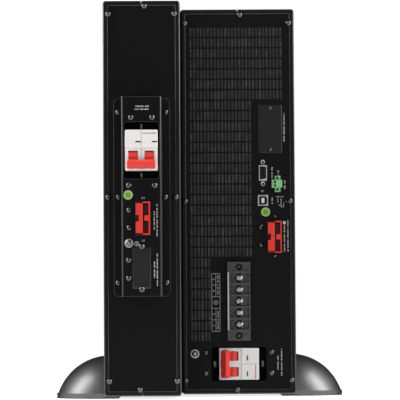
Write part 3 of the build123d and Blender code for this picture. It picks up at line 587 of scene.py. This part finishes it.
def moulding_with_painted_shade(name, colour, shade, start, end):
    """Moulded plastic for one node, with painted shade: from its colour to the shade colour between two
    depths behind its front.
    """
    plastic = Finish(name + "_plastic", Specular_IOR_Level=0.25)
    flow = plastic.at.noise(300.0, 3.0)
    depth = flow.node("ShaderNodeSeparateXYZ", {}, {"Vector": plastic.at}, out="Y")
    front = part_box(name)[0].y
    # painted shade: 0 at the front face, 1 deep in the hollows
    shade_by_depth = depth.climb(front + start, front + end)
    face = flow.tint([0.88 * c for c in colour], colour)
    plastic.feed("Base Color", shade_by_depth.tint(face, shade))
    plastic.feed("Roughness", flow.between(0.34, 0.52))
    plastic.raise_skin(flow, 0.00003, 0.0005)
    dress(plastic.material, name)


HOUSING_RED = (0.64, 0.036, 0.024)
CAVITY_PAINTED_SHADE = (0.11, 0.003, 0.002)
# the housings darken towards a near-black red deep in their hollows, as painted shade
for name in ("pack_connector", "supply_connector"):
    moulding_with_painted_shade(name, HOUSING_RED, CAVITY_PAINTED_SHADE, start=1.5 * MM, end=9.0 * MM)
# the blades are painted dark red, as shade and as a painted reflection of the housing
dress(plated("silver_contact", (0.05, 0.008, 0.006), 0.4), "pack_contacts", "supply_contacts")

# Cover plates
# Blanking covers over the spare connector place and over the expansion slot, cut from dark grey coated
# sheet and held by two screws each.
cover_coat = powder_coat("cover_coat", (0.012, 0.012, 0.012), rough=0.48, sheen=0.14)
dress(cover_coat, "spare_connector_cover", "expansion_cover")

# Mesh behind the slots
# Woven steel wire, blackened, clamped between the slotted panel and the fans to keep fingers out.
# Scattered patches of wire are painted paler as glints, so the slots look a little paler than the sheet
# round them.
WIRE_PITCH = 1.6 * MM
WIRE_DARK = (0.02, 0.02, 0.02)
WIRE_GLINT = (0.064, 0.064, 0.064)
# a wave texture at scale 1 goes through 20 radians in a metre
WIRES = 2 * pi / (20 * WIRE_PITCH)
mesh_wire = Finish("mesh_wire", Specular_IOR_Level=0.4)
over = {"Vector": mesh_wire.at, "Scale": WIRES}
warp = mesh_wire.at.node("ShaderNodeTexWave", {"bands_direction": "X"}, over, out=1)
weft = mesh_wire.at.node("ShaderNodeTexWave", {"bands_direction": "Z"}, over, out=1)
weave = warp.math("MAXIMUM", warp, weft)
# painted glints: random patches of the weave are coloured paler and made glossier, in place of light caught
# on the wires
painted_glints = mesh_wire.at.stretched((1, 1, 0.3)).noise(210.0, 2.0).between(-5.0, 5.0)
mesh_wire.feed("Base Color", (weave * painted_glints).tint(WIRE_DARK, WIRE_GLINT))
mesh_wire.feed("Roughness", painted_glints.between(0.5, 0.35))
mesh_wire.raise_skin(weave, 0.0003)
dress(mesh_wire.material, "vent_mesh")

# Fans behind the slots
# Black moulded frames and rotors, seen only through the slots. The frames are fixed against the mesh, and
# each rotor turns on its frame's hub.
fan_black = moulded("fan_black", (0.004, 0.004, 0.004), 0.5, edge=0.0, Specular_IOR_Level=0.08)
dress(fan_black, "fan_frames", "fan_rotors")

# Serial port
# Tin-plated shell round a black moulded insert with nine gilt pins, their gold darkened as painted shade
# inside the shell. Two hexagon jack screws, zinc plated and threaded for those of a plug, hold it to the
# panel.
tin_plate = plated("tin_plate", (0.5, 0.5, 0.5), 0.26)
dress(tin_plate, "serial_port_shell", "data_port_shell")
port_black = moulded("port_black", (0.004, 0.004, 0.004), 0.5, Specular_IOR_Level=0.1)
dress(port_black, "serial_port_insert")
zinc = plated("screw_zinc", (0.33, 0.33, 0.325), 0.28)
insert_low, insert_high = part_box("serial_port_insert")
insert_middle = (insert_low + insert_high) / 2
PIN_PITCH = 2.77 * MM
PIN_ROW = 1.42 * MM
PIN = 0.5 * MM
PIN_OUT = 0.5 * MM
PIN_TIP = 0.2 * MM
deselect()
bpy.ops.mesh.primitive_cylinder_add(vertices=10, radius=PIN, depth=PIN_OUT, location=(0, 0, PIN_OUT / 2))
pin = bpy.context.object
pin.name = "serial_pin"
edit(pin)
pick(pin, upward)
bpy.ops.mesh.inset(thickness=PIN_TIP)
bpy.ops.transform.translate(value=(0, 0, PIN_TIP))
done()
pin_places = []
for row, count in ((-1, 5), (1, 4)):
    for step in range(count):
        up = (step - (count - 1) / 2) * PIN_PITCH
        pin_places.append(rear(insert_middle.x + row * PIN_ROW, insert_low.y, insert_middle.z + up))
# painted shade: the pins' gold is darkened to a dim brown
shaded_gilt = plated("shaded_gilt", (0.1, 0.075, 0.035), 0.4)
gather("serial_pins", copies(pin, pin_places), shaded_gilt)
drop(pin)
JACK = 2.77 * MM
JACK_OUT = 4.6 * MM
JACK_APART = 12.4 * MM
JACK_RIM = 0.4 * MM
JACK_CHAMFER = 0.7 * MM
JACK_DISH = 0.3 * MM
JACK_BORE = 3.0 * MM
deselect()
bpy.ops.mesh.primitive_cylinder_add(vertices=6, radius=JACK, depth=JACK_OUT, location=(0, 0, JACK_OUT / 2))
jack = bpy.context.object
jack.name = "jack"
edit(jack)
pick(jack, upward)
bpy.ops.mesh.inset(thickness=JACK_RIM)
bpy.ops.mesh.inset(thickness=JACK_CHAMFER)
bpy.ops.transform.translate(value=(0, 0, -JACK_DISH))
bpy.ops.mesh.extrude_region_move(TRANSFORM_OT_translate={"value": (0, 0, -JACK_BORE)})
done()
jack_places = []
for side in (-1, 1):
    jack_places.append(rear(insert_middle.x, panel_y, insert_middle.z + side * JACK_APART, pi / 6))
jacks = gather("jack_standoffs", copies(jack, jack_places), zinc)
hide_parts("serial_jack_screws")
drop(jack)

# Signal plug
# Pale green two-pole plug, moulded, with painted shade darkening the well for each wire. A black screw in
# each ear holds it to the panel.
PLUG_GREEN = (0.2, 0.46, 0.2)
WELL_PAINTED_SHADE = (0.01, 0.03, 0.01)
EAR_OUT = 8.0 * MM
EAR_SIDE = 0.8 * MM
EAR_APART = 6.8 * MM
EAR_HEAD = 1.7 * MM
EAR_RISE = 0.8 * MM
# painted shade: the plug darkens to a near-black green deep in its wire wells
moulding_with_painted_shade("signal_plug", PLUG_GREEN, WELL_PAINTED_SHADE, start=3.4 * MM, end=4.6 * MM)
plug_low, plug_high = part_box("signal_plug")
plug_middle = (plug_low + plug_high) / 2
ear_screw = cross_screw("ear_screw", EAR_HEAD, EAR_RISE)
ear_places = []
for side in (-1, 1):
    up = plug_middle.z + side * EAR_APART
    ear_places.append(rear(plug_middle.x + EAR_SIDE, panel_y - EAR_OUT, up, side))
gather("plug_screws", copies(ear_screw, ear_places), screw_black.material)
drop(ear_screw)

# Data port
# Square tin-plated shell with two cut corners round a white moulded tongue. A dark sheet set behind the
# tongue's front is painted shade deep in the shell.
LINER_WIDE = 8.2 * MM
LINER_TALL = 8.8 * MM
LINER_THICK = 0.8 * MM
LINER_DEEP = 2.2 * MM
dress(moulded("port_white", (0.8, 0.8, 0.79), 0.4), "data_port_tongue")
tongue_low, tongue_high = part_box("data_port_tongue")
tongue_middle = (tongue_low + tongue_high) / 2
# painted shade: a black sheet set in the shell behind the tongue, where the shell lies in shade
shade_sheet = thin_plate("data_port_painted_shade", LINER_WIDE, LINER_TALL, LINER_THICK, corner=0.4 * MM)
shade_sheet.data.transform(rear(tongue_middle.x, tongue_low.y + LINER_DEEP, tongue_middle.z))
gather("data_port_painted_shade", [shade_sheet], port_black)

# Terminal block
# Five-pole barrier strip in dark grey phenolic, with a clamping screw on a square washer in each bay. A
# black screw sits in the counterbore of each ear, and a pale strip along the ridge is a painted highlight
# of its lit edge.
block_grey = moulded("block_grey", (0.02, 0.02, 0.02), 0.38, grain=600.0, depth=0.0001, edge=0.0014)
dress(block_grey, "terminal_block")
block_low, block_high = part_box("terminal_block")
block_middle = (block_low + block_high) / 2
POLES = 5
BAY = 13.2 * MM
BAY_OUT = 9.0 * MM
WASHER = 8.8 * MM
WASHER_THICK = 1.6 * MM
WASHER_EDGE = 0.12 * MM
CLAMP_HEAD = 4.7 * MM
CLAMP_RISE = 3.0 * MM
SEAT_OUT = 8.5 * MM
SEAT_APART = 38.9 * MM
STRIP_WIDE = 1.5 * MM
STRIP_THICK = 0.15 * MM
STRIP_IN = 1.1 * MM
# less than any step between two faces
SLIVER = 0.01 * MM


def second_finish(piece, material, test):
    """Give a piece a second material on the faces whose middle passes the test."""
    piece.data.materials.append(material)
    for face in piece.data.polygons:
        if test(face.center):
            face.material_index = 1


deselect()
bpy.ops.mesh.primitive_cube_add(size=WASHER, location=(0, 0, WASHER_THICK / 2))
washer = bpy.context.object
edit(washer)
bpy.ops.transform.resize(value=(1, 1, WASHER_THICK / WASHER), center_override=(0, 0, WASHER_THICK / 2))
bpy.ops.mesh.bevel(offset=WASHER_EDGE, segments=2, affect="EDGES")
done()
terminal = cross_screw("terminal_screw", CLAMP_HEAD, CLAMP_RISE)
washer_back = panel_y - BAY_OUT
washer_front = washer_back - WASHER_THICK
clamps = []
for pole in range(POLES):
    up = block_middle.z + (pole - (POLES - 1) / 2) * BAY
    turn = 0.2 + 0.5 * pole
    clamps += copies(washer, [rear(block_middle.x, washer_back, up)])
    clamps += copies(terminal, [rear(block_middle.x, washer_front, up, turn)])
screws = gather("terminal_clamps", clamps, zinc)
dull_zinc = plated("dull_zinc", (0.2, 0.2, 0.2), 0.4)
second_finish(screws, dull_zinc, lambda middle: middle.y > washer_front - SLIVER)
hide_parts("terminal_screws")
block_screws = []
for side in (-1, 1):
    up = block_middle.z + side * SEAT_APART
    block_screws.append(rear(block_middle.x, panel_y - SEAT_OUT, up, side))
gather("block_screws", copies(pan_head, block_screws), screw_black.material)
drop(terminal, washer)
# painted highlight: a pale strip laid along the ridge's edge where it would catch the light
ridge_glint = thin_plate("ridge_painted_highlight", STRIP_WIDE, POLES * BAY, STRIP_THICK, corner=0.3 * MM)
ridge_glint.data.transform(rear(block_low.x + STRIP_IN, block_low.y, block_middle.z))
gather("ridge_painted_highlight", [ridge_glint], ink("ridge_highlight_white", (0.5, 0.5, 0.5)))

# Earth screws
# Zinc-plated pan heads, darker than the plain round washers under them: one on the bracket, and one low
# on the power module.
RING = 4.9 * MM
RING_THICK = 1.0 * MM
EARTH_HEAD = 3.8 * MM
EARTH_RISE = 2.6 * MM
deselect()
bpy.ops.mesh.primitive_cylinder_add(
    vertices=32, radius=RING, depth=RING_THICK, location=(0, 0, RING_THICK / 2)
)
ring = bpy.context.object
earth = cross_screw("earth_screw", EARTH_HEAD, EARTH_RISE, ring)
earth_places = [on_battery(28.8, 169.0, bracket_low.y, 0.4), on_ups(14.8, 46.0, panel_y, 0.9)]
earths = gather("earth_terminals", copies(earth, earth_places), zinc)


def on_head(middle):
    """Whether a face lies in front of its washer."""
    seat = bracket_low.y if middle.x < ups_low.x else panel_y
    return middle.y < seat - RING_THICK - SLIVER


second_finish(earths, plated("earth_head", (0.09, 0.09, 0.09), 0.26), on_head)
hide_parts("earth_screws")
drop(earth, pan_head, small_head)

# Round green stickers
# Printed paper discs with a pale rim, a greener middle and two dark strokes, stuck on: one on the bracket
# and one on the power module.


def paper(name, colour):
    """Printed paper: soft fibre, a little uneven in tone."""
    sheet = Finish(name, Specular_IOR_Level=0.25)
    fibre = sheet.at.noise(1300.0, 4.0, 0.7)
    dark = [0.85 * c for c in colour]
    sheet.feed("Base Color", fibre.tint(dark, colour))
    sheet.feed("Roughness", fibre.between(0.5, 0.75))
    sheet.raise_skin(fibre, 0.00003)
    return sheet.material


STICKER = 5.1 * MM
PAPER = 0.12 * MM
STICKER_RIM = 1.1 * MM
STICKER_RAISED = 0.02 * MM
STROKE_WIDE = 1.0 * MM
STROKE_TALL = 4.2 * MM
STROKE_SIDE = 1.3 * MM
STROKE_UP = 0.13 * MM
deselect()
bpy.ops.mesh.primitive_cylinder_add(vertices=40, radius=STICKER, depth=PAPER, location=(0, 0, PAPER / 2))
sticker = bpy.context.object
sticker.name = "sticker"
edit(sticker)
pick(sticker, upward)
bpy.ops.mesh.inset(thickness=STICKER_RIM)
bpy.ops.transform.translate(value=(0, 0, STICKER_RAISED))
sticker.data.materials.append(paper("sticker_rim", (0.42, 0.58, 0.2)))
sticker.data.materials.append(paper("sticker_green", (0.2, 0.4, 0.08)))
sticker.active_material_index = 1
bpy.ops.object.material_slot_assign()
done()
sticker_places = [on_battery(28.2, 222.2, bracket_low.y), on_ups(96.3, 207.4, panel_y)]
stickers = copies(sticker, sticker_places)
stroke = thin_plate("stroke", STROKE_WIDE, STROKE_TALL, INK, corner=0.2 * MM)
sticker_strokes = []
for place in sticker_places:
    for across in (-STROKE_SIDE, STROKE_SIDE):
        sticker_strokes.append(place @ Matrix.Translation((across, 0, STROKE_UP)))
green_ink = ink("green_ink", (0.07, 0.2, 0.03))
gather("sticker_strokes", copies(stroke, sticker_strokes), green_ink)
drop(stroke)
for name, piece in zip(("battery_sticker", "ups_sticker"), stickers):
    piece.name = name
    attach(piece, "cabinets")
drop(sticker)

# Printed marks on the rear
# White screen print: rows of plain dashes, a table with the pole numbers beside the terminal block, two
# earth signs, and a small wiring sketch by the ports.
dash = thin_plate("dash", wide=1.0, tall=1.0, thick=1.0, corner=0.12)
prints = []


def mark(place, wide, tall, thick=INK):
    """One dash of the print, `wide` by `tall`, at a place on the rear."""
    size = Matrix.Diagonal((wide, tall, thick, 1))
    prints.extend(copies(dash, [place @ size]))


DASHES = (1.0, 0.6, 1.1, 0.8, 0.5, 1.2, 0.7, 0.9)
DASH_GAP = 0.7
WORD_GAP = 1.9
WORD_DASHES = 7
WORD_END = 5


def dash_row(spot, across, up, y, length, tall, upright, phase=0):
    """A row of dashes, as long as a line of small print, along or up the panel, in millimetres."""
    run = -length / 2
    count = phase
    while run < length / 2:
        wide = DASHES[count % len(DASHES)]
        gap = WORD_GAP if count % WORD_DASHES == WORD_END else DASH_GAP
        middle = run + wide / 2
        # three heights by turns, from three quarters of the line to all of it
        high = tall * (0.75 + 0.25 * ((count * 5) % 3) / 2)
        if upright:
            mark(spot(across, up + middle, y, pi / 2), wide * MM, high * MM)
        else:
            mark(spot(across + middle, up, y), wide * MM, high * MM)
        run += wide + gap
        count += 1


HEADING_TALL = 1.7
CAPTION_TALL = 1.5
face_y = bracket_low.y
dash_row(on_battery, 44.2, 320.2, face_y, 15, HEADING_TALL, False)
dash_row(on_battery, 44.2, 316.9, face_y, 17, HEADING_TALL, False, 3)
for low, high, across, phase in ((176.6, 212.6, 60.0, 1), (184.0, 204.5, 56.9, 4),
                                 (122, 158, 60.0, 2), (131.0, 149.0, 56.9, 6)):
    dash_row(on_battery, across, (low + high) / 2, face_y, high - low, CAPTION_TALL, True, phase)
for low, high, across, phase in ((288.2, 320.2, 118.0, 2), (245.7, 257.7, 103.9, 1),
                                 (233.7, 244.2, 118.4, 3), (216.8, 224.3, 103.9, 5),
                                 (162, 191.5, 117.6, 0), (162, 198, 121.6, 4),
                                 (20.7, 50.7, 113.4, 3), (27.5, 43.5, 109.2, 6)):
    dash_row(on_ups, across, (low + high) / 2, panel_y, high - low, CAPTION_TALL, True, phase)
mark(on_ups(117.6, 195.0, panel_y), 3.0 * MM, 3.4 * MM)

# the table beside the terminal block
TABLE_LEFT = 34.3
TABLE_RIGHT = 43.5
TABLE_LOW = 71.4
CELL = 13.2
LINE = 0.45 * MM
FIGURE = 4.2 * MM
FIGURE_SIDE = 2.3
LABEL_SIDE = 2.4
LABEL_LONG = 8.0
LABEL_TALL = 1.8
table_across = (TABLE_LEFT + TABLE_RIGHT) / 2
for step in range(POLES + 1):
    up = TABLE_LOW + step * CELL
    mark(on_ups(table_across, up, panel_y), (TABLE_RIGHT - TABLE_LEFT) * MM, LINE)
for across in (TABLE_LEFT, TABLE_RIGHT):
    mark(on_ups(across, TABLE_LOW + POLES / 2 * CELL, panel_y), LINE, POLES * CELL * MM)
for start in (0, 3):
    mark(on_ups(table_across, TABLE_LOW + (start + 1) * CELL, panel_y), LINE, 2 * CELL * MM)
for pole in (0, 1, 3, 4):
    up = TABLE_LOW + (pole + 0.5) * CELL
    figure = lettering(str(pole + 1), FIGURE)
    prints.extend(copies(figure, [on_ups(table_across - FIGURE_SIDE, up, panel_y, pi / 2)]))
    drop(figure)
    dash_row(on_ups, table_across + LABEL_SIDE, up, panel_y, LABEL_LONG, LABEL_TALL, True, pole)


def ring_print(radius, line):
    """Flat printed ring on the origin facing +Z."""
    deselect()
    bpy.ops.mesh.primitive_circle_add(vertices=28, radius=radius, fill_type="NGON", location=(0, 0, 0))
    hoop = bpy.context.object
    edit(hoop)
    bpy.ops.mesh.select_all(action="SELECT")
    bpy.ops.mesh.inset(thickness=line)
    bpy.ops.mesh.delete(type="FACE")
    bpy.ops.mesh.select_all(action="SELECT")
    bpy.ops.mesh.extrude_region_move(TRANSFORM_OT_translate={"value": (0, 0, INK)})
    bpy.ops.mesh.select_all(action="SELECT")
    bpy.ops.mesh.normals_make_consistent(inside=False)
    done()
    hoop.name = "ring_print"
    return hoop


SIGN = 2.6 * MM
SIGN_LINE = 0.4 * MM
STEM = 1.5 * MM
STEM_UP = 0.9
BARS = (2.8, 1.8, 0.8)
BAR_DROP = 0.7
BAR_TALL = 0.35 * MM


def earth_sign(spot, across, up, y):
    """Ring with the three shrinking bars of an earth sign."""
    hoop = ring_print(SIGN, SIGN_LINE)
    prints.extend(copies(hoop, [spot(across, up, y)]))
    drop(hoop)
    mark(spot(across, up + STEM_UP, y), SIGN_LINE, STEM)
    for level, wide in enumerate(BARS):
        mark(spot(across, up - BAR_DROP * level, y), wide * MM, BAR_TALL)


earth_sign(on_battery, 37.4, 168.4, face_y)
earth_sign(on_ups, table_across, TABLE_LOW + POLES / 2 * CELL, panel_y)

# the wiring sketch by the ports
for across, up, wide, tall in ((112.4, 224.8, 8.5, 0.45), (110.4, 220.2, 0.45, 5.5),
                               (114.0, 218.2, 0.45, 9.0), (117.0, 215.7, 0.45, 5.0),
                               (115.4, 213.2, 3.2, 0.45), (120.4, 219.2, 2.6, 0.45),
                               (112.4, 215.2, 2.6, 0.45), (111.0, 254.2, 3.4, 0.5),
                               (111.0, 251.8, 0.5, 3.4), (92.9, 231.4, 0.5, 2.6),
                               (92.9, 231.4, 3.4, 0.5)):
    mark(on_ups(across, up, panel_y), wide * MM, tall * MM)
gather("rear_prints", prints, white_ink)
drop(dash)

# Floor, studio light and camera
# A pale floor with a curved white backdrop behind the object, a plain room, a tall soft lamp on each side
# and a square one in front, and a long lens low in front of the rear panels.
FLOOR = 160
FLOOR_PALE = (0.92, 0.92, 0.92, 1)
WHITE = (1, 1, 1, 1)
FLOOR_GLOW = 0.78
deselect()
bpy.ops.mesh.primitive_plane_add(size=FLOOR, location=(0, 0, 0))
floor = bpy.context.object
floor.name = "studio_floor"
floor_paint = bpy.data.materials.new("studio_floor")
floor_paint.use_nodes = True
tree = floor_paint.node_tree
tree.nodes.clear()
# the glow is only seen, directly, mirrored or through something clear: it sheds no light on matt surfaces
direct = Wire(tree, tree.nodes.new("ShaderNodeLightPath").outputs["Is Camera Ray"])
mirrored = direct.node("ShaderNodeLightPath", {}, {}, out="Is Glossy Ray")
through = direct.node("ShaderNodeLightPath", {}, {}, out="Is Transmission Ray")
seen = direct.math("MAXIMUM", direct.math("MAXIMUM", direct, mirrored), through)
paint = seen.node("ShaderNodeBsdfDiffuse", {}, {"Color": FLOOR_PALE})
glow = seen.node("ShaderNodeEmission", {}, {"Color": WHITE, "Strength": FLOOR_GLOW * seen})
both = seen.node("ShaderNodeAddShader", {}, {0: paint, 1: glow})
output = tree.nodes.new("ShaderNodeOutputMaterial")
tree.links.new(both.socket, output.inputs["Surface"])
floor.data.materials.append(floor_paint)

BACK = 28.0
BACK_TALL = 18.0
deselect()
bpy.ops.mesh.primitive_cylinder_add(
    vertices=96, radius=BACK, depth=BACK_TALL, end_fill_type="NOTHING", location=(0, 0, BACK_TALL / 2)
)
wall = bpy.context.object
wall.name = "studio_backdrop"
edit(wall)
pick(wall, lambda middle, normal: middle.y < 0)
bpy.ops.mesh.delete(type="FACE")
done()
wall.data.materials.append(floor_paint)

FILL = 0.3
world = bpy.data.worlds.new("studio")
bpy.context.scene.world = world
world.use_nodes = True
air = world.node_tree.nodes["Background"]
air.inputs["Color"].default_value = WHITE
air.inputs["Strength"].default_value = FILL


def softbox(name, power, wide, tall, place, aim):
    """Rectangular area lamp at a place, turned to an aim."""
    bpy.ops.object.light_add(type="AREA", location=place)
    lamp = bpy.context.object
    lamp.name = name
    lamp.data.energy = power
    lamp.data.shape = "RECTANGLE"
    lamp.data.size = wide
    lamp.data.size_y = tall
    across, along, up = (a - b for a, b in zip(aim, place))
    flat = (across * across + along * along) ** 0.5
    lamp.rotation_euler = (pi / 2 + atan2(up, flat), 0, atan2(-across, along))


softbox("side_left", power=38, wide=0.7, tall=1.6, place=(-1.45, -0.5, 1.15), aim=(-0.1, -0.3, 0.3))
softbox("side_right", power=38, wide=0.7, tall=1.6, place=(1.45, -0.45, 1.15), aim=(0.1, -0.25, 0.3))
softbox("front", power=8.5, wide=1.4, tall=1.4, place=(0.3, -2.6, 1.3), aim=(0, -0.2, 0.2))

EYE_SIDE = -0.0006
EYE_HEIGHT = 0.0768
DISTANCE = 3.125
PITCH = radians(2.63)
ROLL = radians(-0.32)
SENSOR_WIDE = 36
FOCAL = 253.6
FAR = 100
lens = bpy.data.cameras.new("camera")
lens.sensor_width = SENSOR_WIDE
lens.lens = FOCAL
lens.clip_end = FAR
camera = bpy.data.objects.new("camera", lens)
bpy.context.scene.collection.objects.link(camera)
camera.matrix_world = (
    Matrix.Translation((EYE_SIDE, battery_low.y - DISTANCE, EYE_HEIGHT))
    @ Matrix.Rotation(pi / 2 + PITCH, 4, "X")
    @ Matrix.Rotation(ROLL, 4, "Z")
)
bpy.context.scene.camera = camera
bpy.context.scene.view_settings.view_transform = "Standard"
